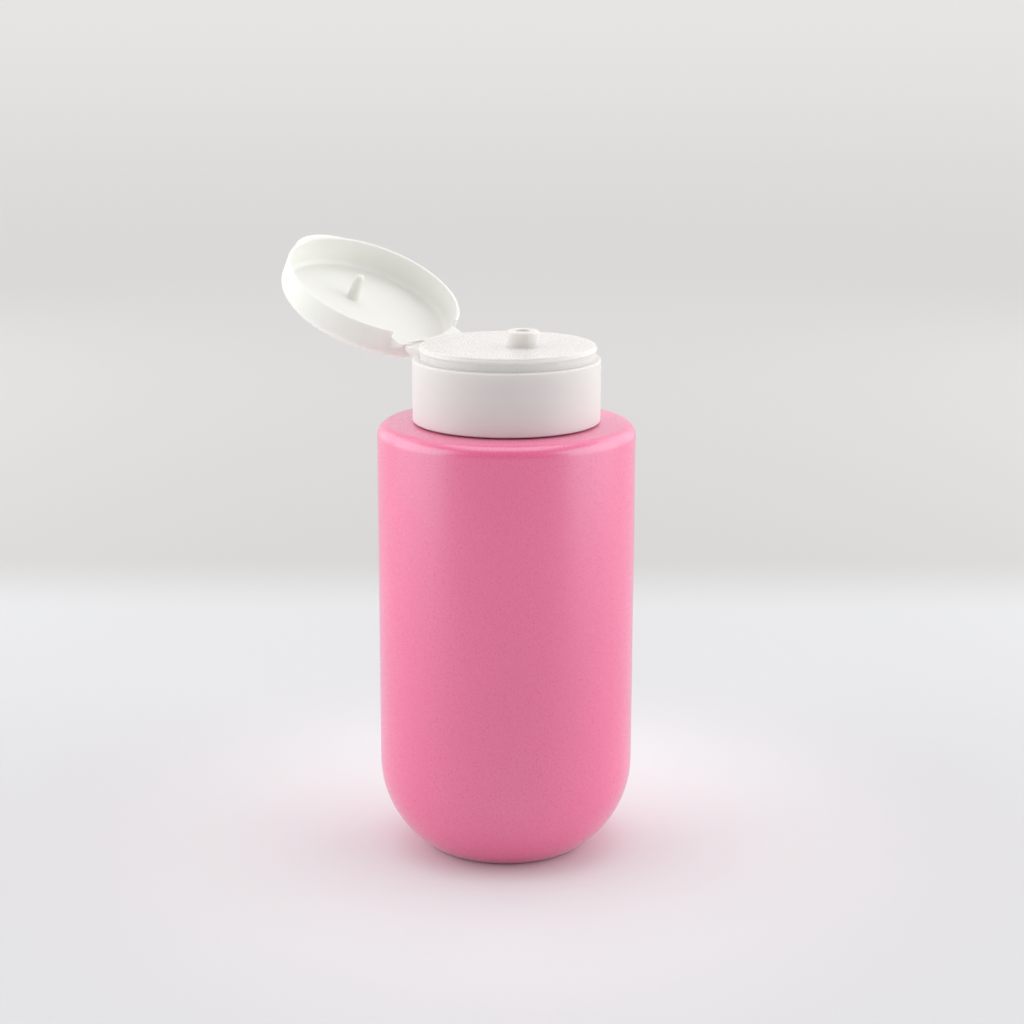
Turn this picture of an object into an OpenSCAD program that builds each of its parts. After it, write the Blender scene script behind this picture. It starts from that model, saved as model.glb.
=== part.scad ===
// Cosmetic bottle with a screw-on flip-top closure, shown with its lid standing open.
// Origin: centre of the foot, on the bottle's axis. Z is up, the hinge is at the back (+Y).

/* [Bottle] */
// Outer radius of the body
body_r = 27.5; // [25:0.5:32]
// Height of the flat shoulder above the table
shoulder_z = 93.7; // [80:0.1:120]
// Wall of the blown shell
bottle_wall = 1.1; // [0.8:0.1:1.6]
// Radius of the large curve from the side into the base
corner_r = 22.5; // [18:0.5:23]
// Radius at which the large curve would reach the table
foot_r = 16.9; // [15:0.1:19]
// Radius of the small round between the large curve and the foot
heel_r = 3; // [2:0.1:4]
// Inner radius of the ring that the bottle stands on
ring_r = 13.6; // [11:0.1:14.5]
// Height of the hollow under the base
push_up = 1.6; // [1:0.1:3]
// Round on the shoulder's outer edge
shoulder_edge_r = 1.5; // [1.2:0.1:3]
// Round between the shoulder and the neck
neck_foot_r = 1; // [0.4:0.1:2]

/* [Neck] */
// Outer radius of the neck under its thread
neck_r = 12.5; // [11.5:0.1:13.5]
// Wall of the neck
neck_wall = 1.6; // [1.2:0.1:2.2]
// Round on the neck's lip
lip_r = 0.3; // [0.1:0.1:0.6]

/* [Thread] */
// How far the thread stands out of the neck, and into the closure
thread_depth = 1.2; // [0.8:0.1:1.5]
// Rise of the thread in one turn
thread_pitch = 4.2; // [3.8:0.1:5]
// Turns of thread on the neck
thread_turns = 1.5; // [1:0.25:1.75]
// Width of the thread at its root
thread_root_w = 1.9; // [1.5:0.1:2.1]
// Width of the thread at its crest
thread_crest_w = 0.9; // [0.6:0.1:1.2]
// Distance from the neck's lip down to the upper end of its thread
thread_down = 2.7; // [2:0.1:3.2]
// Distance from the sleeve's mouth up to the lower end of the closure's thread
thread_lead = 1.05; // [1.05:0.05:1.6]
// Angle over which each end of a thread fades away
thread_fade = 30; // [15:5:45]

/* [Closure] */
// Outer radius of the closure and its lid
closure_r = 19.95; // [19:0.05:22]
// Height of the closure's outer skirt
skirt_h = 13.3; // [10:0.1:18]
// Wall of the outer skirt
skirt_wall = 1.2; // [0.9:0.1:1.8]
// Thickness of the ledge that the lid closes down to
ledge_t = 1.4; // [1:0.1:2]
// Height of the raised deck above the ledge
boss_h = 2.95; // [2.5:0.05:4]
// Wall of the raised deck's rim
boss_wall = 1.4; // [1.2:0.1:1.8]
// Thickness of the deck
deck_t = 1.4; // [1:0.1:1.9]
// Wall of the inner sleeve that carries the closure's thread
sleeve_wall = 1.2; // [0.9:0.1:1.6]
// Height of the sleeve's mouth above the skirt's lower edge
sleeve_up = 1.6; // [1:0.1:4]
// Number of ribs between the sleeve and the skirt
rib_count = 12; // [6:1:16]
// Thickness of each rib
rib_t = 0.8; // [0.6:0.1:1.2]
// How far each rib reaches down below the ledge
rib_h = 4; // [2:0.5:6]
// Round on the skirt's outer edges
skirt_edge_r = 0.35; // [0.1:0.05:0.8]
// Round on the deck's outer edge
deck_edge_r = 0.35; // [0.1:0.05:0.5]
// How far the snap bead stands out of the deck's side
bead_out = 0.25; // [0.15:0.05:0.4]
// Height of the snap bead
bead_h = 0.9; // [0.6:0.1:1.2]
// Depth of the snap bead below the deck's surface
bead_down = 0.45; // [0.4:0.05:0.8]

/* [Nozzle] */
// Outer radius of the nozzle
nozzle_r = 3.3; // [2.8:0.1:4]
// Radius of the nozzle's bore
bore_r = 1.7; // [1.6:0.1:2.2]
// Height of the nozzle above the deck
nozzle_h = 3.4; // [2.5:0.1:5]
// Distance of the nozzle from the closure's axis, towards the front
nozzle_off = 4.5; // [3:0.1:7]
// Round on the nozzle's lip
nozzle_edge_r = 0.35; // [0.1:0.05:0.6]
// Round where the nozzle meets the deck
nozzle_foot_r = 0.3; // [0.1:0.05:0.6]

/* [Lid] */
// Wall of the lid
lid_wall = 0.7; // [0.6:0.05:1]
// Thickness of the lid's flat top
lid_top_t = 0.75; // [0.6:0.05:1.2]
// Round on the lid's outer top edge
lid_edge_r = 2.5; // [1.5:0.1:3]
// Cove between the lid's wall and its ceiling
lid_cove_r = 1; // [1:0.1:2.2]
// Round on the lid's rim
lid_rim_r = 0.2; // [0.1:0.05:0.3]
// Angle that the lid stands open at
lid_open = 153; // [90:1:180]
// How far the sealing pin reaches down from the ceiling
pin_l = 6; // [4:0.1:6.5]
// How much thinner the sealing pin is at its tip, in radius
pin_taper = 0.4; // [0.3:0.05:0.6]
// How far the lift tab stands out of the lid's front
tab_out = 1.3; // [0.8:0.1:2]
// Width of the lift tab
tab_w = 17; // [9:0.5:18]
// Height of the lift tab
tab_h = 3; // [2:0.1:4]

/* [Hinge] */
// Width of the hinge
hinge_w = 20; // [14:0.5:22]
// Distance of the hinge line outside the skirt
hinge_out = 0.63; // [0.6:0.01:1]
// Height of the hinge line above the ledge
hinge_up = 1.65; // [1.5:0.05:2]
// Radius of the rounded film along the hinge line
film_r = 0.3; // [0.25:0.05:0.35]
// Width of the film in the middle of the hinge
film_w = 5; // [3:0.5:7]
// Width of the window on each side of the middle film
window_w = 5; // [2:0.5:5]
// Height of each window, cut into the lid's hinge block
window_h = 0.45; // [0.2:0.05:0.6]
// Height of each hinge block at the back, before it slopes into the wall
block_h = 0.5; // [0.4:0.1:1.5]
// Round on the hinge blocks' upright edges
block_edge_r = 1; // [0.5:0.1:1.5]

/* [Liner] */
// Thickness of the sealing liner
liner_t = 0.9; // [0.6:0.1:1.4]
// Radius of the hole through the liner
liner_hole_r = 9.4; // [8.5:0.1:10.4]

/* [Clearances] */
// Gap between the skirt's lower edge and the shoulder
skirt_gap = 0.35; // [0.2:0.05:0.8]
// Gap all round from the crest of each thread to the wall that it faces
thread_gap = 0.25; // [0.2:0.05:0.4]
// Gap along the axis between the two threads' flanks, on the side that pulls when the closure is tight
flank_gap = 0.25; // [0.15:0.05:0.4]
// Gap between the liner's edge and the sleeve
liner_gap = 0.4; // [0.2:0.05:0.8]
// Gap between the closed lid's rim and the ledge
rim_gap = 0.2; // [0.1:0.05:0.4]
// Gap between the snap bead and the lid's wall
snap_gap = 0.1; // [0.08:0.01:0.15]
// How far the deck is set back at the hinge, so that the lid's rim swings past it
swing_gap = 0.7; // [0.6:0.05:0.7]
// Gap between the nozzle's lip and the closed lid's ceiling
lip_gap = 0.2; // [0.1:0.05:0.4]
// Gap all round between the sealing pin's root and the bore
pin_gap = 0.3; // [0.25:0.05:0.45]
// Gap at each end of the hinge, between the lid's notch and the raised block of the skirt
block_gap = 0.2; // [0.15:0.05:0.3]
// Gap from the hinge line to each hinge block
fold_gap = 0.15; // [0.1:0.05:0.2]

/* [Hidden] */
$fn = 96;

// Steps in a small round, in a large curve and in one turn of a thread
small_steps = 6;
large_steps = 24;
thread_steps = 48;
// Overlap that makes joined solids one, and how deep a thread's root is set into its wall
lap = 0.05;
root_lap = 0.2;

// Closure, from the shoulder up
closure_z = shoulder_z + skirt_gap;
ledge_z = closure_z + skirt_h;
deck_z = ledge_z + boss_h;
ceiling_z = deck_z - deck_t;
sleeve_in_r = neck_r + thread_depth + thread_gap;
sleeve_out_r = sleeve_in_r + sleeve_wall;
mouth_z = closure_z + sleeve_up;
nozzle_z = deck_z + nozzle_h;

// Neck, ending under the liner
neck_z = ceiling_z - liner_t;
neck_bore_r = neck_r - neck_wall;
liner_r = sleeve_in_r - liner_gap;

// Threads: the closure's runs below the neck's by the two half widths and the gap between their flanks.
// Each helix is given by its height at angle 0 and the angles of its ends.
thread_high_z = neck_z - thread_down;
thread_low_z = thread_high_z - thread_turns * thread_pitch;
half_widths = thread_root_w - (thread_root_w - thread_crest_w) / 2 * (1 + thread_gap / thread_depth);
thread_drop = half_widths + flank_gap;
neck_end_a = 360 * thread_turns;
sleeve_start_a = 360 * (mouth_z + thread_lead - thread_low_z + thread_drop) / thread_pitch;

// Lid as closed
lid_in_r = closure_r - lid_wall;
rim_z = ledge_z + rim_gap;
lid_ceiling_z = nozzle_z + lip_gap;
lid_z = lid_ceiling_z + lid_top_t;
bead_r = lid_in_r - snap_gap;
boss_r = bead_r - bead_out;
boss_in_r = boss_r - boss_wall;
pin_r = bore_r - pin_gap;
pin_tip_r = pin_r - pin_taper;

// Hinge line
hinge_y = closure_r + hinge_out;
hinge_z = ledge_z + hinge_up;
block_y = hinge_y - fold_gap;
relief_r = film_r + fold_gap;

// Corner of the body: the large curve's centre, then the heel's
corner_x = body_r - corner_r;
corner_z = sqrt(pow(corner_r, 2) - pow(foot_r - corner_x, 2));
heel_x = corner_x + sqrt(pow(corner_r - heel_r, 2) - pow(corner_z - heel_r, 2));
heel_a = atan2(heel_r - corner_z, heel_x - corner_x);
// Dome of the hollow under the base
dome_r = (pow(ring_r, 2) + pow(push_up, 2)) / (2 * push_up);
dome_a = asin(ring_r / dome_r);

// Points of an arc about (x, z), from angle a to angle b
function arc(x, z, r, a, b, n = small_steps) =
    [for (i = [0 : n]) [x + r * cos(a + (b - a) * i / n), z + r * sin(a + (b - a) * i / n)]];

function reversed(list) = [for (i = [len(list) - 1 : -1 : 0]) list[i]];

// Half-section of the body's skin, a distance t inside its outer face, from the axis up to the shoulder
function body_skin(t) = concat(
    arc(0, push_up - dome_r, dome_r + t, 90, 90 - dome_a, large_steps / 2),
    arc(heel_x, heel_r, heel_r - t, -90, heel_a),
    arc(corner_x, corner_z, corner_r - t, heel_a, 0, large_steps),
    arc(body_r - shoulder_edge_r, shoulder_z - shoulder_edge_r, shoulder_edge_r - t, 0, 90)
);

// Whole section of the bottle, up the outside and down the inside
function bottle_section() = concat(
    body_skin(0),
    reversed(arc(neck_r + neck_foot_r, shoulder_z + neck_foot_r, neck_foot_r, 180, 270)),
    arc(neck_r - lip_r, neck_z - lip_r, lip_r, 0, 90),
    arc(neck_bore_r + lip_r, neck_z - lip_r, lip_r, 90, 180),
    [[neck_bore_r, shoulder_z - bottle_wall]],
    reversed(body_skin(bottle_wall))
);

// Half-section of the deck's raised disc, with its snap bead
function boss_section() = concat(
    [[0, ledge_z - lap], [boss_r, ledge_z - lap], [boss_r, deck_z - bead_down - bead_h]],
    [for (i = [0 : small_steps])
        [boss_r + bead_out * sin(180 * i / small_steps), deck_z - bead_down - bead_h * (1 - i / small_steps)]],
    arc(boss_r - deck_edge_r, deck_z - deck_edge_r, deck_edge_r, 0, 90),
    [[0, deck_z]]
);

// Section of the skirt and its ledge
function skirt_section() = concat(
    [[closure_r - skirt_wall, closure_z]],
    arc(closure_r - skirt_edge_r, closure_z + skirt_edge_r, skirt_edge_r, -90, 0),
    arc(closure_r - skirt_edge_r, ledge_z - skirt_edge_r, skirt_edge_r, 0, 90),
    [[boss_in_r, ledge_z], [boss_in_r, ledge_z - ledge_t], [closure_r - skirt_wall, ledge_z - ledge_t]]
);

// Section of the nozzle, measured from its own axis
function nozzle_section() = concat(
    [[bore_r, ceiling_z + lap], [nozzle_r + nozzle_foot_r, ceiling_z + lap]],
    reversed(arc(nozzle_r + nozzle_foot_r, deck_z + nozzle_foot_r, nozzle_foot_r, 180, 270)),
    arc(nozzle_r - nozzle_edge_r, nozzle_z - nozzle_edge_r, nozzle_edge_r, 0, 90),
    arc(bore_r + nozzle_edge_r / 2, nozzle_z - nozzle_edge_r / 2, nozzle_edge_r / 2, 90, 180)
);

// Section of the lid's shell, as closed
function lid_section() = concat(
    arc(lid_in_r + lid_rim_r, rim_z + lid_rim_r, lid_rim_r, 180, 270),
    arc(closure_r - lid_rim_r, rim_z + lid_rim_r, lid_rim_r, -90, 0),
    arc(closure_r - lid_edge_r, lid_z - lid_edge_r, lid_edge_r, 0, 90),
    [[0, lid_z], [0, lid_ceiling_z]],
    reversed(arc(lid_in_r - lid_cove_r, lid_ceiling_z - lid_cove_r, lid_cove_r, 0, 90))
);

// Half-section of the sealing pin, with a rounded tip
function pin_section() = concat(
    [[0, lid_ceiling_z + lap], [pin_r, lid_ceiling_z + lap]],
    reversed(arc(0, lid_ceiling_z - pin_l + pin_tip_r, pin_tip_r, -90, 0))
);

// Corners of a thread's section at angle a: it grows from inside the wall at root_r out to crest_r,
// or in to it, and its flanks keep their slope
function thread_ring(root_r, crest_r, z, a, grown) =
    let (
        way = sign(crest_r - root_r),
        top_r = root_r - way * lap + (crest_r - root_r + way * lap) * grown,
        top_w = thread_root_w - (thread_root_w - thread_crest_w) * grown,
        low = [[root_r - way * root_lap, -thread_root_w / 2], [top_r, -top_w / 2]],
        high = [[top_r, top_w / 2], [root_r - way * root_lap, thread_root_w / 2]],
        corners = way > 0 ? concat(low, high) : reversed(concat(low, high))
    )
    [for (c = corners) [c[0] * cos(a), c[0] * sin(a), z + c[1]]];

// Two triangles for each side of the section between a ring of four points and the next one
function thread_sides(ring) = [
    for (j = [0 : 3])
        let (b = 4 * ring, k = (j + 1) % 4)
        for (face = [[b + j, b + k, b + 4 + k], [b + j, b + 4 + k, b + 4 + j]]) face
];

// Right-handed helical ridge between two angles, whose height at angle 0 is zero_z
module thread(root_r, crest_r, zero_z, start_a, end_a) {
    rings = ceil((end_a - start_a) / 360 * thread_steps);
    points = [
        for (i = [0 : rings])
            let (
                a = start_a + (end_a - start_a) * i / rings,
                grown = min(1, (a - start_a) / thread_fade, (end_a - a) / thread_fade)
            )
            each thread_ring(root_r, crest_r, zero_z + thread_pitch * a / 360, a, grown)
    ];
    last = 4 * rings;
    polyhedron(points, concat(
        [[2, 1, 0], [3, 2, 0], [last, last + 1, last + 2], [last, last + 2, last + 3]],
        [for (i = [0 : rings - 1]) each thread_sides(i)]
    ));
}

// Upright block as wide as the hinge, reaching back to the plane of the hinge blocks
module hinge_plan() {
    half = hinge_w / 2 - block_edge_r;
    translate([-half, 0]) square([2 * half, block_y]);
    translate([-hinge_w / 2, 0]) square([hinge_w, block_y - block_edge_r]);
    for (side = [-1, 1])
        translate([side * half, block_y - block_edge_r]) circle(r = block_edge_r);
}

// One hinge block: its flat end lies fold_gap from the hinge line, and it slopes away into the wall.
// up is 1 for the block above the line and -1 for the one below it.
module hinge_block(up) {
    slope = block_h + block_y - sqrt(pow(closure_r, 2) - pow(hinge_w / 2, 2));
    intersection() {
        translate([0, 0, hinge_z - 2 * slope]) linear_extrude(4 * slope) hinge_plan();
        translate([-hinge_w, 0, hinge_z]) rotate([90, 0, 90]) linear_extrude(2 * hinge_w)
            polygon([
                [closure_r - skirt_wall - slope, up * fold_gap],
                [block_y, up * fold_gap],
                [block_y, up * (fold_gap + block_h)],
                [closure_r - skirt_wall - slope, up * (fold_gap + slope)]
            ]);
    }
}

module boss_disc() {
    rotate_extrude() polygon(boss_section());
}

module deck() {
    difference() {
        intersection() {
            boss_disc();
            translate([0, -swing_gap, 0]) boss_disc();
        }
        translate([0, 0, ledge_z - 1]) cylinder(r = boss_in_r, h = ceiling_z - ledge_z + 1);
    }
}

module sleeve() {
    translate([0, 0, mouth_z]) difference() {
        cylinder(r = sleeve_out_r, h = ceiling_z - mouth_z + lap);
        translate([0, 0, -1]) cylinder(r = sleeve_in_r, h = ceiling_z - mouth_z + 1);
    }
    thread(sleeve_in_r, neck_r + thread_gap, thread_low_z - thread_drop, sleeve_start_a, neck_end_a);
}

// Ribs that tie the sleeve to the skirt, under the deck and the ledge
module ribs() {
    top_z = ledge_z - ledge_t + lap;
    skirt_in_r = closure_r - skirt_wall;
    for (i = [0 : rib_count - 1])
        rotate([0, 0, 360 * (i + 0.5) / rib_count]) rotate([90, 0, 0])
            linear_extrude(rib_t, center = true)
                polygon([
                    [sleeve_out_r - lap, top_z - rib_h], [skirt_in_r + lap, top_z - rib_h],
                    [skirt_in_r + lap, top_z], [boss_in_r + lap, top_z],
                    [boss_in_r + lap, ceiling_z + lap], [sleeve_out_r - lap, ceiling_z + lap]
                ]);
}

// Round bar along the hinge line, from x = from to x = to
module hinge_bar(r, from, to) {
    translate([from, hinge_y, hinge_z]) rotate([0, 90, 0]) cylinder(r = r, h = to - from, $fn = 32);
}

// Lower hinge block, which reaches in to the deck, and the films on its end: one in the middle and one
// at each end, with the windows between them
module skirt_hinge() {
    window_end = film_w / 2 + window_w;
    film_end = hinge_w / 2 - block_edge_r;
    difference() {
        hinge_block(-1);
        translate([0, 0, closure_z]) cylinder(r = closure_r - skirt_wall / 2, h = skirt_h);
        translate([0, 0, ledge_z - lap]) cylinder(r = boss_in_r + lap, h = 2 * hinge_up);
    }
    hinge_bar(film_r, -film_w / 2, film_w / 2);
    hinge_bar(film_r, window_end, film_end);
    hinge_bar(film_r, -film_end, -window_end);
}

module closure() {
    color([0.93, 0.92, 0.91]) difference() {
        union() {
            rotate_extrude() polygon(skirt_section());
            deck();
            sleeve();
            ribs();
            translate([0, -nozzle_off, 0]) rotate_extrude() polygon(nozzle_section());
            skirt_hinge();
        }
        translate([0, -nozzle_off, ceiling_z - 1]) cylinder(r = bore_r, h = nozzle_z - ceiling_z + 2);
    }
}

// Thumb tab on the lid's front: a round-nosed lip that fades out upwards
module lift_tab() {
    sag = tab_out + closure_r - sqrt(pow(closure_r, 2) - pow(tab_w / 2, 2));
    nose_r = (pow(tab_w / 2, 2) + pow(sag, 2)) / (2 * sag);
    translate([0, nose_r - closure_r - tab_out, rim_z + lid_rim_r])
        cylinder(r1 = nose_r, r2 = nose_r - tab_out - lap, h = tab_h);
}

// Notch in the lid's wall over the hinge, up to the level of the lid's hinge block
module hinge_notch() {
    half = hinge_w / 2 + block_gap;
    translate([-half, 0, rim_z - 1]) cube([2 * half, hinge_y, hinge_z + fold_gap - rim_z + 1]);
}

// Windows beside the middle film, cut up into the lid's hinge block
module hinge_windows() {
    for (side = [-1, 1])
        translate([side * (film_w + window_w) / 2 - window_w / 2, closure_r - lid_wall / 2, hinge_z])
            cube([window_w, 2 * hinge_out, fold_gap + window_h]);
}

module closed_lid() {
    difference() {
        rotate_extrude() polygon(lid_section());
        hinge_notch();
    }
    translate([0, -nozzle_off, 0]) rotate_extrude() polygon(pin_section());
    difference() {
        union() {
            lift_tab();
            hinge_block(1);
        }
        translate([0, 0, rim_z - 1]) cylinder(r = closure_r - lid_wall / 2, h = lid_z - rim_z + 1);
        hinge_bar(relief_r, -hinge_w, hinge_w);
        hinge_windows();
    }
}

module lid() {
    color([0.94, 0.95, 0.92])
        translate([0, hinge_y, hinge_z]) rotate([-lid_open, 0, 0]) translate([0, -hinge_y, -hinge_z])
            closed_lid();
}

module bottle() {
    color([0.95, 0.5, 0.68]) {
        rotate_extrude() polygon(bottle_section());
        thread(neck_r, neck_r + thread_depth, thread_low_z, 0, neck_end_a);
    }
}

module sealing_liner() {
    color([0.88, 0.88, 0.84]) translate([0, 0, neck_z]) difference() {
        cylinder(r = liner_r, h = liner_t);
        translate([0, 0, -1]) cylinder(r = liner_hole_r, h = liner_t + 2);
    }
}

bottle();
closure();
lid();
sealing_liner();
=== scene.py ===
"""The looks of a cosmetic bottle with a flip-top closure, laid out as a Blender add-on.

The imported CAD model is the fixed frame. Lengths are metres, Z is up, the hinge is at +Y.
"""

import math
from collections import namedtuple

import bmesh
import bpy
from bpy.props import FloatProperty, FloatVectorProperty, PointerProperty
from mathutils import Matrix, Vector


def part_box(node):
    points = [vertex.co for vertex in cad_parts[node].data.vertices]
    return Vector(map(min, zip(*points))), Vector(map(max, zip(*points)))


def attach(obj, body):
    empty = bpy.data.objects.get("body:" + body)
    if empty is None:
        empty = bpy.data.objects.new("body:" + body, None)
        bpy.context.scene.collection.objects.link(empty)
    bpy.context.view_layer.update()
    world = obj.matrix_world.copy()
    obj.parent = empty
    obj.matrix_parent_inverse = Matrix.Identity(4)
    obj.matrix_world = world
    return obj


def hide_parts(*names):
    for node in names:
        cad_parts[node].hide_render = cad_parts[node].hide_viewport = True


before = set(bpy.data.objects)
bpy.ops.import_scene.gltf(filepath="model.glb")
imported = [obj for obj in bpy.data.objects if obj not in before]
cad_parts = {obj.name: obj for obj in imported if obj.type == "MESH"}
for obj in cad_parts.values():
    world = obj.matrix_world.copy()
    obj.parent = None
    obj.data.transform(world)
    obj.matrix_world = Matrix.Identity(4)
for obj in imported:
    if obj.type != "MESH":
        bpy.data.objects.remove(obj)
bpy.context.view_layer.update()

bl_info = {
    "name": "Cosmetic Bottle",
    "version": (1, 0, 0),
    "blender": (4, 5, 0),
    "location": "View3D > Sidebar > Bottle",
    "description": "Builds a soft-touch bottle with a white flip-top closure, and its studio",
    "category": "Object",
}

MM = 0.001
BOTTLE_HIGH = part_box("bottle")[1]
CLOSURE_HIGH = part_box("closure")[1]

# Steps of a full turn of the bottle and of its thread, and of the thread's fading ends
TURN_STEPS = 192
THREAD_STEPS = 48
THREAD_FADE_STEPS = 4

# Steps of a quarter round, which grow with rounds larger than the fine one
ROUND_STEPS = 6
FINE_ROUND = 2.0 * MM

# Edges that turn by more than this are shaded sharp
SHARP_EDGE = math.radians(32)

# Waves of each noise in a metre
PAINT_CLOUDS = 28.0
PAINT_DIMPLES = 900.0
PAINT_GRAIN = 5200.0
MOULDED_CLOUDS = 60.0
MOULDED_RIPPLES = 420.0
MOULDED_GRAIN = 3800.0
FOAM_CELLS = 2600.0

# Roughness from the smoothest grain to the coarsest
PAINT_ROUGHNESS = (0.25, 0.33)
SATIN_ROUGHNESS = (0.36, 0.44)
SATIN_MEAN = sum(SATIN_ROUGHNESS) / 2

# Width of the camera's sensor in millimetres, as the lens is given
SENSOR_WIDTH = 36.0

# The floor: its size, where it turns greyer behind the bottle, and the painted fill light round the foot,
# a lighter colour in place of the bottle's shade there
FLOOR_RADIUS = 60.0
FLOOR_EDGE = 200 * MM
# Painted fill light: the floor's colour is this much lighter at the foot and fades back between these
# reaches from the axis, lifting the bottle's shade
PAINTED_FILL_LOW, PAINTED_FILL_HIGH = 20 * MM, 120 * MM
PAINTED_FILL_GAIN = 1.22

# Square of the distance at which the floor gives off half of its glow
GLOW_AREA = 0.7

# The room: its strength behind the bottle and in front, the rise of its axis, and the blend between
ROOM_COLOUR = (1.0, 0.99, 0.985, 1.0)
ROOM_BEHIND, ROOM_IN_FRONT = 0.9, 0.36
ROOM_TILT = 0.15
ROOM_BLEND = 0.9

# The lamps: azimuths in degrees from the camera's, lengths in metres, power in watts
NEUTRAL = (1.0, 1.0, 1.0)
WARM = (1.0, 0.99, 0.98)
AIM = (0.0, 0.0, 60 * MM)
SoftBox = namedtuple("SoftBox", "name azimuth distance height size power colour")
SOFT_BOXES = (
    SoftBox("left_box", -85, 0.8, 0.3, (1.0, 0.9), 5.0, WARM),
    SoftBox("right_box", 85, 0.8, 0.3, (1.0, 0.9), 5.0, WARM),
    SoftBox("left_rim", -135, 0.8, 0.3, (0.4, 0.9), 1.1, WARM),
    SoftBox("right_rim", 135, 0.8, 0.3, (0.4, 0.9), 1.1, WARM),
    SoftBox("top_box", 180, 0.1, 1.2, (1.0, 1.0), 4.0, NEUTRAL),
)


def length(name, description, default, high=1.0):
    """A length property in metres."""
    return FloatProperty(
        name=name, description=description, default=default, min=0.0, max=high, unit="LENGTH", precision=5
    )


def shade(name, description, default):
    """A linear colour property."""
    return FloatVectorProperty(
        name=name, description=description, default=default, size=3, min=0.0, max=1.0, subtype="COLOR"
    )


class BottleSettings(bpy.types.PropertyGroup):
    """Sizes and colour of the blown bottle."""

    body_radius: length("Body radius", "Outer radius of the body", BOTTLE_HIGH.x)
    shoulder_height: length("Shoulder height", "Height of the flat shoulder", 93.7 * MM)
    shoulder_edge: length("Shoulder edge", "Round on the shoulder's outer edge", 2.6 * MM)
    wall: length("Wall", "Wall of the shell", 1.1 * MM)
    curve: length("Base curve", "Radius of the curve from the side into the base", 22.5 * MM)
    foot_radius: length("Foot radius", "Radius at which the base curve would reach the table", 16.9 * MM)
    heel: length("Heel", "Round between the base curve and the foot", 3.0 * MM)
    ring_radius: length("Ring radius", "Inner radius of the ring that the bottle stands on", 13.6 * MM)
    push_up: length("Push-up", "Height of the hollow under the base", 1.6 * MM)
    neck_radius: length("Neck radius", "Outer radius of the neck", 12.5 * MM)
    neck_wall: length("Neck wall", "Wall of the neck", 1.6 * MM)
    thread_radius: length("Thread radius", "Outer radius of the neck's thread", 13.7 * MM)
    thread_pitch: length("Thread pitch", "Rise of the thread in one turn", 4.2 * MM)
    thread_turns: FloatProperty(
        name="Thread turns", description="Turns of the thread", default=1.5, min=0.5, max=2.0
    )
    thread_drop: length("Thread drop", "Depth of the thread's upper end below the neck's lip", 2.7 * MM)
    thread_root: length("Thread root", "Width of the thread at its root", 1.9 * MM)
    thread_crest: length("Thread crest", "Width of the thread at its crest", 0.9 * MM)
    colour: shade("Colour", "Pigment of the bottle", (0.945, 0.116, 0.308))


class ClosureSettings(bpy.types.PropertyGroup):
    """Colours and polish of the closure, its lid and its liner."""

    deck_drop: length("Deck drop", "Depth of the polished deck below the nozzle's lip", 6.35 * MM)
    deck_roughness: FloatProperty(
        name="Deck roughness", description="Roughness of the polished deck", default=0.28, subtype="FACTOR"
    )
    colour: shade("Closure colour", "Pigment of the closure", (0.76, 0.735, 0.715))
    lid_colour: shade("Lid colour", "Pigment of the lid", (0.78, 0.79, 0.755))
    liner_colour: shade("Liner colour", "Colour of the foamed liner", (0.7, 0.7, 0.64))


class StudioSettings(bpy.types.PropertyGroup):
    """Place and lens of the camera, and colours of the floor."""

    azimuth: FloatProperty(
        name="Azimuth", description="Direction of the camera round the bottle",
        default=math.radians(-49.75), subtype="ANGLE",
    )
    distance: length("Distance", "Distance of the camera from the bottle's axis", 453.16 * MM, high=10.0)
    height: length("Height", "Height of the camera", 182.74 * MM)
    side: length("Side step", "Shift of the camera to its right", 1.2157 * MM)
    pitch: FloatProperty(
        name="Pitch", description="Angle that the camera looks down", default=0.2358, subtype="ANGLE"
    )
    roll: FloatProperty(name="Roll", description="Turn about the view", default=-0.0022, subtype="ANGLE")
    lens: FloatProperty(
        name="Lens", description="Focal length on a 36 mm sensor", default=76.26, unit="CAMERA"
    )
    floor_colour: shade("Floor", "Floor round the bottle", (0.63, 0.64, 0.655))
    far_colour: shade("Far floor", "Floor behind the bottle", (0.525, 0.518, 0.515))
    glow_colour: shade("Glow", "Light that the floor gives off far from the bottle", (0.41, 0.405, 0.40))


def settings():
    """The three groups of settings."""
    scene = bpy.context.scene
    return scene.bottle_body, scene.bottle_closure, scene.bottle_studio


# Shader maths

class Signal:
    """A shader value that Python's arithmetic adds Math nodes to."""

    def __init__(self, graph, socket):
        self.graph = graph
        self.socket = socket

    def combine(self, operation, first, second):
        return self.graph.node("ShaderNodeMath", {"operation": operation}, {0: first, 1: second})

    def __add__(self, other):
        return self.combine("ADD", self, other)

    def __sub__(self, other):
        return self.combine("SUBTRACT", self, other)

    def __mul__(self, other):
        return self.combine("MULTIPLY", self, other)

    def __truediv__(self, other):
        return self.combine("DIVIDE", self, other)


class Graph:
    """A node tree under construction: one method adds any node, the rest are the steps that repeat."""

    def __init__(self, tree):
        self.tree = tree

    def node(self, kind, options=None, links=None, output=0):
        """Adds a node of that kind, sets its options, then its inputs, and returns one output."""
        made = self.tree.nodes.new(kind)
        for key, value in (options or {}).items():
            setattr(made, key, value)
        for key, value in (links or {}).items():
            self.feed(made.inputs[key], value)
        return Signal(self, made.outputs[output])

    def feed(self, socket, value):
        """Links a signal to a socket, or sets the socket's own value."""
        if isinstance(value, Signal):
            self.tree.links.new(value.socket, socket)
        else:
            socket.default_value = value

    def along(self, vector, direction):
        """How far a vector reaches in a direction."""
        links = {0: vector, 1: direction}
        return self.node("ShaderNodeVectorMath", {"operation": "DOT_PRODUCT"}, links, output="Value")

    def band(self, value, low, high, start=0.0, end=1.0):
        """Eases from start to end as the value goes from low to high."""
        links = {"Value": value, "From Min": low, "From Max": high, "To Min": start, "To Max": end}
        return self.node("ShaderNodeMapRange", {"interpolation_type": "SMOOTHSTEP"}, links)


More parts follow.
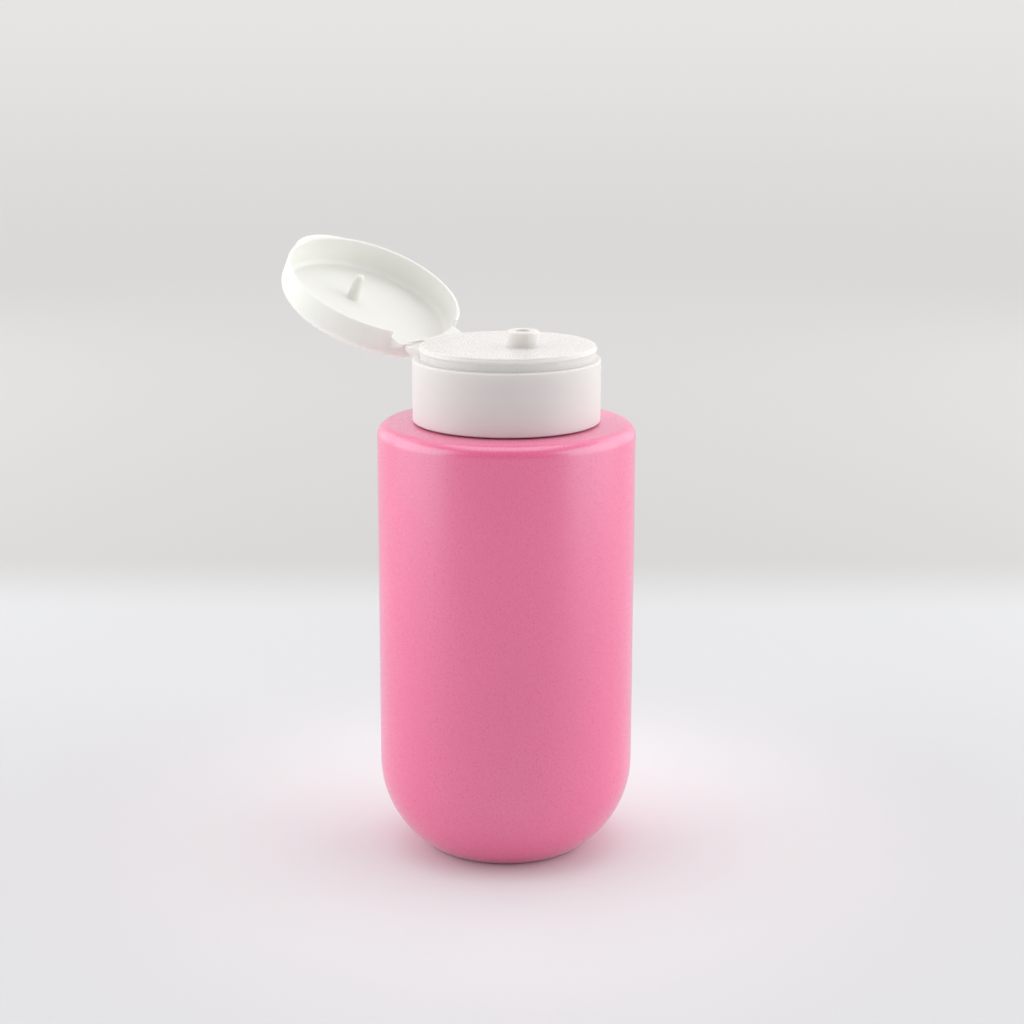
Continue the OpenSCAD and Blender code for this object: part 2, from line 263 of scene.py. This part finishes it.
class Finish(Graph):
    """A material under construction, on object coordinates."""

    def __init__(self, name):
        self.material = bpy.data.materials.new(name)
        self.material.use_nodes = True
        super().__init__(self.material.node_tree)
        self.shader = self.tree.nodes["Principled BSDF"]
        self.place = self.node("ShaderNodeTexCoord", output="Object")

    def set(self, **values):
        """Sets the shader's sockets; an underscore in a name stands for a space."""
        for name, value in values.items():
            self.feed(self.shader.inputs[name.replace("_", " ")], value)

    def noise(self, scale, detail=2.0, roughness=0.5):
        """Noise in object space, scale in waves for each metre."""
        links = {"Vector": self.place, "Scale": scale, "Detail": detail, "Roughness": roughness}
        return self.node("ShaderNodeTexNoise", links=links)

    def height(self):
        """Height above the table, in metres."""
        return self.node("ShaderNodeSeparateXYZ", links={0: self.place}, output="Z")

    def mix(self, share, first, second):
        """Mixes two colours."""
        links = {"Factor": share, 6: rgba(first), 7: rgba(second)}
        return self.node("ShaderNodeMix", {"data_type": "RGBA"}, links, output=2)

    def bump(self, height, distance, strength):
        """Raises the surface by the height's share of that distance, in metres."""
        links = {"Height": height, "Distance": distance, "Strength": strength}
        self.set(Normal=self.node("ShaderNodeBump", links=links))


def rgba(colour):
    """A colour with its alpha, or a signal as it is."""
    return colour if isinstance(colour, Signal) else (*colour[:3], 1.0)


def scaled(colour, factor):
    """A colour made lighter or darker."""
    return tuple(min(1.0, part * factor) for part in colour)


def soft_touch(colour):
    """Matte, rubbery paint over the blown shell: fine grain, faint clouds and a soft, cool sheen."""
    finish = Finish("soft_touch_pink")
    clouds = finish.band(finish.noise(PAINT_CLOUDS, detail=3.0), 0.35, 0.65)
    grain = finish.noise(PAINT_GRAIN, detail=3.0, roughness=0.6)
    dimples = finish.noise(PAINT_DIMPLES)
    finish.set(Base_Color=finish.mix(clouds, scaled(colour, 0.985), scaled(colour, 1.015)))
    finish.set(Roughness=finish.band(grain, 0.2, 0.8, *PAINT_ROUGHNESS))
    finish.bump(grain * 0.7 + dimples * 0.3, 0.012 * MM, 0.4)
    finish.set(IOR=1.7, Specular_IOR_Level=1.0, Specular_Tint=(0.5, 1.0, 1.0, 1.0))
    finish.set(Sheen_Weight=0.32, Sheen_Roughness=0.35, Sheen_Tint=(0.35, 1.0, 1.0, 1.0))
    finish.set(Subsurface_Weight=0.08, Subsurface_Radius=(1.0, 0.35, 0.35), Subsurface_Scale=0.8 * MM)
    return finish.material


def moulded(name, colour, deck=None, deck_roughness=SATIN_MEAN):
    """White moulded plastic: satin, and polished from the deck's height up where it has a deck."""
    finish = Finish(name)
    clouds = finish.noise(MOULDED_CLOUDS)
    grain = finish.noise(MOULDED_GRAIN)
    ripples = finish.noise(MOULDED_RIPPLES)
    roughness = finish.band(grain, 0.2, 0.8, *SATIN_ROUGHNESS)
    if deck is not None:
        polished = finish.band(finish.height(), deck - 0.4 * MM, deck + 0.2 * MM)
        roughness = roughness - polished * (SATIN_MEAN - deck_roughness)
    finish.set(Base_Color=finish.mix(clouds, scaled(colour, 0.985), scaled(colour, 1.01)))
    finish.set(Roughness=roughness, Specular_IOR_Level=0.35)
    finish.bump(grain * 0.6 + ripples * 0.4, 0.015 * MM, 0.35)
    finish.set(Subsurface_Weight=0.6, Subsurface_Radius=(1.0, 0.95, 0.85), Subsurface_Scale=2.5 * MM)
    return finish.material


def foamed(colour):
    """Closed-cell foam of the sealing liner."""
    finish = Finish("liner_foam")
    cells = finish.node("ShaderNodeTexVoronoi", links={"Vector": finish.place, "Scale": FOAM_CELLS})
    finish.set(Base_Color=finish.mix(cells, scaled(colour, 1.03), scaled(colour, 0.9)), Roughness=0.8)
    finish.bump(cells, 0.05 * MM, 0.6)
    return finish.material


def painted_floor(near, far, glow, facing):
    """Pale matte floor, a little greyer beyond its edge on the side that the vector faces.

    It is lighter close to the foot, a painted fill light in its colour that lifts the bottle's shade
    there.
    It glows more the further it lies from the bottle, as a backdrop does that has lamps of its own.
    """
    finish = Finish("studio_floor")
    depth = finish.along(finish.place, facing)
    reach = finish.node("ShaderNodeVectorMath", {"operation": "LENGTH"}, {0: finish.place}, output="Value")
    # Painted fill light: the colour near the foot is made lighter, in place of the shade that the bottle
    # casts there
    ground = finish.mix(finish.band(reach, PAINTED_FILL_LOW, PAINTED_FILL_HIGH), scaled(near, PAINTED_FILL_GAIN), near)
    beyond = finish.band(depth, FLOOR_EDGE - 25 * MM, FLOOR_EDGE + 45 * MM)
    away = reach * reach / (reach * reach + GLOW_AREA)
    finish.set(Base_Color=finish.mix(beyond, ground, far), Roughness=0.6, Specular_IOR_Level=0.2)
    finish.set(Emission_Color=finish.mix(away, (0.0, 0.0, 0.0), glow), Emission_Strength=1.0)
    return finish.material


# Modelling

def arc_corner(before, corner, after, radius):
    """Start, centre and turn of the round that replaces a corner of an outline."""
    into = (corner - before).normalized()
    out = (after - corner).normalized()
    turn = into.angle_signed(out)
    reach = radius * math.tan(abs(turn) / 2)
    start = corner - into * reach
    inward = Vector((into.y, -into.x)) if turn > 0 else Vector((-into.y, into.x))
    return start, start + inward * radius, turn


def draw_outline(bm, corners):
    """Draws a wire in the XZ plane through corners (radius, height and, if any, round).

    Each round is swept by the spin operator about its centre.
    """
    points = [Vector(corner[:2]) for corner in corners]
    rounds = [corner[2] if len(corner) > 2 else 0.0 for corner in corners]
    drawn = []

    def add(point):
        vert = bm.verts.new((point.x, 0.0, point.y))
        if drawn:
            bm.edges.new((drawn[-1], vert))
        drawn.append(vert)

    for index, (point, radius) in enumerate(zip(points, rounds)):
        if radius == 0.0:
            add(point)
            continue
        start, centre, turn = arc_corner(points[index - 1], point, points[index + 1], radius)
        add(start)
        quarter = ROUND_STEPS * max(1.0, radius / FINE_ROUND)
        swept = bmesh.ops.spin(
            bm, geom=[drawn[-1]], cent=(centre.x, 0.0, centre.y), axis=(0.0, 1.0, 0.0),
            angle=turn, steps=max(2, round(quarter * abs(turn) / (math.pi / 2))),
        )
        drawn.append(next(item for item in swept["geom_last"] if isinstance(item, bmesh.types.BMVert)))


def revolve(bm, corners):
    """Draws an outline and spins it about the bottle's axis."""
    draw_outline(bm, corners)
    bmesh.ops.spin(
        bm, geom=bm.verts[:] + bm.edges[:], cent=(0.0, 0.0, 0.0), axis=(0.0, 0.0, 1.0),
        angle=math.tau, steps=TURN_STEPS, use_merge=True,
    )


def finish_piece(name, bm, material, body, nodes):
    """Cleans the bmesh and makes it an object that rides on a body and replaces its CAD nodes."""
    bmesh.ops.remove_doubles(bm, verts=bm.verts, dist=0.002 * MM)
    bmesh.ops.dissolve_degenerate(bm, edges=bm.edges, dist=0.001 * MM)
    bmesh.ops.recalc_face_normals(bm, faces=bm.faces)
    for face in bm.faces:
        face.smooth = True
    for edge in bm.edges:
        edge.smooth = len(edge.link_faces) == 2 and edge.calc_face_angle(0.0) < SHARP_EDGE
    mesh = bpy.data.meshes.new(name)
    bm.to_mesh(mesh)
    bm.free()
    mesh.materials.append(material)
    piece = bpy.data.objects.new(name, mesh)
    bpy.context.scene.collection.objects.link(piece)
    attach(piece, body)
    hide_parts(*nodes)


def dress(node, material):
    """Gives a CAD node a new material."""
    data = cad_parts[node].data
    data.materials.clear()
    data.materials.append(material)


def bottle_outline(body):
    """Corners of the bottle's section, up the outside from the base and down the inside."""
    radius, shoulder, wall, neck = body.body_radius, body.shoulder_height, body.wall, body.neck_radius
    centre_x = radius - body.curve
    centre_z = math.sqrt(body.curve**2 - (body.foot_radius - centre_x) ** 2)
    heel_x = centre_x + math.sqrt((body.curve - body.heel) ** 2 - (centre_z - body.heel) ** 2)
    lean = math.atan2(centre_z - body.heel, heel_x - centre_x)
    wall_corner = centre_z - body.curve * math.tan(lean / 2)
    floor_corner = heel_x + body.heel * math.tan((math.pi / 2 - lean) / 2)
    top = BOTTLE_HIGH.z
    bore = neck - body.neck_wall
    ring, rise = body.ring_radius, body.push_up
    outside = [
        (0.0, rise),
        (ring * 0.6, rise * 0.8, 8 * MM),
        (ring, 0.0, 1.2 * MM),
        (floor_corner, 0.0, body.heel),
        (radius, wall_corner, body.curve),
        (radius, shoulder, body.shoulder_edge),
        (neck, shoulder, 1.0 * MM),
        (neck, top, 0.3 * MM),
    ]
    inside = [
        (bore, top, 0.3 * MM),
        (bore, shoulder - wall, 0.5 * MM),
        (radius - wall, shoulder - wall, 0.4 * MM),
        (radius - wall, wall_corner + wall * 0.3, body.curve - wall),
        (floor_corner - wall * 0.3, wall, body.heel),
        (ring, wall, 1.2 * MM),
        (0.0, rise + wall),
    ]
    return outside + inside


def wind_thread(bm, body):
    """Winds the neck's right-handed thread and fades both its ends.

    The spin operator carries the section on by one step at a time.
    """
    count = round(body.thread_turns * THREAD_STEPS)
    rise = body.thread_pitch / THREAD_STEPS
    inner = body.neck_radius - 0.2 * MM
    low = BOTTLE_HIGH.z - body.thread_drop - count * rise
    section = (
        (inner, -body.thread_root / 2), (body.thread_radius, -body.thread_crest / 2),
        (body.thread_radius, body.thread_crest / 2), (inner, body.thread_root / 2),
    )
    ring = [bm.verts.new((x, 0.0, low + z)) for x, z in section]
    edges = [bm.edges.new((ring[index - 1], ring[index])) for index in range(4)]
    bmesh.ops.contextual_create(bm, geom=edges)
    rings = [ring]
    geometry = ring + edges
    for _ in range(count):
        swept = bmesh.ops.spin(
            bm, geom=geometry, cent=(0.0, 0.0, 0.0), axis=(0.0, 0.0, 1.0), dvec=(0.0, 0.0, rise),
            angle=math.tau / THREAD_STEPS, steps=1,
        )
        geometry = swept["geom_last"]
        rings.append([item for item in geometry if isinstance(item, bmesh.types.BMVert)])
    last_edges = [item for item in geometry if isinstance(item, bmesh.types.BMEdge)]
    bmesh.ops.contextual_create(bm, geom=last_edges)
    for index, ring in enumerate(rings):
        grown = min(1.0, index / THREAD_FADE_STEPS, (count - index) / THREAD_FADE_STEPS)
        for vert in ring:
            outward = Vector((vert.co.x, vert.co.y, 0.0))
            if outward.length > body.neck_radius:
                sink = (1.0 - grown) * (body.thread_radius - inner)
                bmesh.ops.translate(bm, verts=[vert], vec=-outward.normalized() * sink)


class BOTTLE_OT_body(bpy.types.Operator):
    """Blown bottle with its rounded base, flat shoulder and threaded neck"""

    bl_idname = "bottle.body"
    bl_label = "Bottle"

    def execute(self, context):
        body = settings()[0]
        bm = bmesh.new()
        revolve(bm, bottle_outline(body))
        wind_thread(bm, body)
        finish_piece("bottle_shell", bm, soft_touch(body.colour), "bottle_body", ["bottle"])
        return {"FINISHED"}


class BOTTLE_OT_liner(bpy.types.Operator):
    """Foamed ring that seals between the neck and the deck"""

    bl_idname = "bottle.liner"
    bl_label = "Liner"

    def execute(self, context):
        dress("sealing_liner", foamed(settings()[1].liner_colour))
        return {"FINISHED"}


class BOTTLE_OT_closure(bpy.types.Operator):
    """Screw closure with its skirt, deck and nozzle"""

    bl_idname = "bottle.closure"
    bl_label = "Closure"

    def execute(self, context):
        closure = settings()[1]
        deck = CLOSURE_HIGH.z - closure.deck_drop
        dress("closure", moulded("white_closure", closure.colour, deck, closure.deck_roughness))
        return {"FINISHED"}


class BOTTLE_OT_lid(bpy.types.Operator):
    """Flip-top lid"""

    bl_idname = "bottle.lid"
    bl_label = "Lid"

    def execute(self, context):
        dress("lid", moulded("white_lid", settings()[1].lid_colour))
        return {"FINISHED"}


def turned(vector, angle):
    """A vector turned about Z."""
    return Matrix.Rotation(angle, 3, "Z") @ Vector(vector)


def add_light(box, camera_azimuth):
    """Hangs a soft box that points at the bottle; its azimuth counts from the camera's."""
    light = bpy.data.lights.new(box.name, "AREA")
    light.shape = "RECTANGLE"
    light.size, light.size_y = box.size
    light.energy = box.power
    light.color = box.colour
    lamp = bpy.data.objects.new(box.name, light)
    away = turned((0.0, -box.distance, 0.0), camera_azimuth + math.radians(box.azimuth))
    lamp.location = away + Vector((0.0, 0.0, box.height))
    lamp.rotation_euler = (Vector(AIM) - lamp.location).to_track_quat("-Z", "Y").to_euler()
    lamp.visible_camera = False
    bpy.context.scene.collection.objects.link(lamp)


class BOTTLE_OT_studio(bpy.types.Operator):
    """Camera, soft light and pale floor"""

    bl_idname = "bottle.studio"
    bl_label = "Studio"

    def execute(self, context):
        studio = settings()[2]
        self.place_camera(studio)
        self.lay_floor(studio)
        self.light(studio)
        return {"FINISHED"}

    def place_camera(self, studio):
        """Sets the camera where the photograph was taken from."""
        level, sink = math.cos(studio.pitch), math.sin(studio.pitch)
        right = turned((1.0, 0.0, 0.0), studio.azimuth)
        up = turned((0.0, sink, level), studio.azimuth)
        ahead = turned((0.0, level, -sink), studio.azimuth)
        tilt = Matrix.Rotation(studio.roll, 3, ahead)
        data = bpy.data.cameras.new("camera")
        data.lens = studio.lens
        data.sensor_width = SENSOR_WIDTH
        camera = bpy.data.objects.new("camera", data)
        basis = Matrix((tilt @ right, tilt @ up, -ahead)).transposed()
        spot = turned((studio.side, -studio.distance, studio.height), studio.azimuth)
        camera.matrix_world = Matrix.Translation(spot) @ basis.to_4x4()
        bpy.context.scene.collection.objects.link(camera)
        bpy.context.scene.camera = camera

    def lay_floor(self, studio):
        """Lays a floor that reaches beyond what the camera sees."""
        bm = bmesh.new()
        bmesh.ops.create_circle(bm, cap_ends=True, segments=96, radius=FLOOR_RADIUS)
        mesh = bpy.data.meshes.new("studio_floor")
        bm.to_mesh(mesh)
        bm.free()
        facing = turned((0.0, 1.0, 0.0), studio.azimuth)
        colours = studio.floor_colour, studio.far_colour, studio.glow_colour
        mesh.materials.append(painted_floor(*colours, facing))
        floor = bpy.data.objects.new("studio_floor", mesh)
        bpy.context.scene.collection.objects.link(floor)

    def light(self, studio):
        """Lights the bottle from its sides, from behind and above, in a room that is darker in front."""
        world = bpy.data.worlds.new("studio")
        world.use_nodes = True
        room = Graph(world.node_tree)
        way = room.node("ShaderNodeTexCoord", output="Generated")
        front = turned((0.0, -1.0, ROOM_TILT), studio.azimuth).normalized()
        strength = room.band(room.along(way, front), -ROOM_BLEND, ROOM_BLEND, ROOM_BEHIND, ROOM_IN_FRONT)
        background = world.node_tree.nodes["Background"]
        room.feed(background.inputs["Color"], ROOM_COLOUR)
        room.feed(background.inputs["Strength"], strength)
        bpy.context.scene.world = world
        bpy.context.scene.view_settings.view_transform = "Standard"
        for box in SOFT_BOXES:
            add_light(box, studio.azimuth)


class BOTTLE_PT_panel(bpy.types.Panel):
    """Buttons for the bottle's pieces and its studio"""

    bl_idname = "BOTTLE_PT_panel"
    bl_label = "Cosmetic Bottle"
    bl_space_type = "VIEW_3D"
    bl_region_type = "UI"
    bl_category = "Bottle"

    def draw(self, context):
        for name in OPERATORS:
            self.layout.operator(name)


OPERATORS = ("bottle.studio", "bottle.body", "bottle.closure", "bottle.lid", "bottle.liner")
CLASSES = (
    BottleSettings, ClosureSettings, StudioSettings, BOTTLE_OT_body, BOTTLE_OT_closure, BOTTLE_OT_lid,
    BOTTLE_OT_liner, BOTTLE_OT_studio, BOTTLE_PT_panel,
)


def register():
    for item in CLASSES:
        bpy.utils.register_class(item)
    bpy.types.Scene.bottle_body = PointerProperty(type=BottleSettings)
    bpy.types.Scene.bottle_closure = PointerProperty(type=ClosureSettings)
    bpy.types.Scene.bottle_studio = PointerProperty(type=StudioSettings)


def unregister():
    del bpy.types.Scene.bottle_body
    del bpy.types.Scene.bottle_closure
    del bpy.types.Scene.bottle_studio
    for item in reversed(CLASSES):
        bpy.utils.unregister_class(item)


def main():
    register()
    for name in OPERATORS:
        group, action = name.split(".")
        getattr(getattr(bpy.ops, group), action)()


if __name__ == "__main__":
    main()
